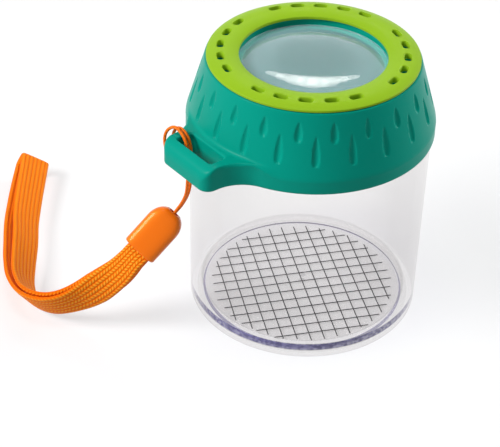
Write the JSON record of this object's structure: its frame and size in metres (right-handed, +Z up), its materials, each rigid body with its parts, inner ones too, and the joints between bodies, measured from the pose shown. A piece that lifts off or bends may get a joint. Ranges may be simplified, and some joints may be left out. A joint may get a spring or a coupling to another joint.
{
  "type": "bug catcher jar",
  "caption": "Clear insect-viewing jar with a measuring grid under the floor and a quick-thread screw lid that carries a magnifying lens, an air-slot ring and a wrist strap.",
  "frame": {"origin": "on the jar's axis, at the plane that its foot ring stands on", "axes": "+Z up along the jar's axis; the strap handle points along -X; the air slots leave the X and Y directions closed"},
  "size_m": [0.1135, 0.1377, 0.0828],
  "materials": {
    "clear_plastic": "clear moulded, glossy",
    "grid_ink": "thin printed lines",
    "teal_plastic": "moulded, satin gloss",
    "lime_plastic": "moulded, satin gloss",
    "lens_plastic": "clear, polished",
    "orange_cord": "thin braided cord",
    "orange_plastic": "moulded, glossy",
    "orange_webbing": "flat braided webbing"
  },
  "bodies": {
    "jar": {"jar": "clear_plastic", "measuring_grid": "grid_ink"},
    "lens": {"lens": "lens_plastic"},
    "lid": {"lid": "teal_plastic", "vent_ring": "lime_plastic", "strap_cord": "orange_cord", "cord_cap": "orange_plastic", "wrist_strap": "orange_webbing"}
  },
  "joints": [
    {"name": "lid_rise", "type": "slide", "parent": "jar", "child": "lens", "axis": [0, 0, 1], "range_m": [0, 0.012]},
    {"name": "lid_turn", "type": "hinge", "parent": "lens", "child": "lid", "pos_m": [0, 0, 0.063], "axis": [0, 0, 1], "range_deg": [0, 360]}
  ],
  "couplings": [
    {"joint": "lid_rise", "follows": "lid_turn", "m_per_rad": 0.0019099}
  ]
}
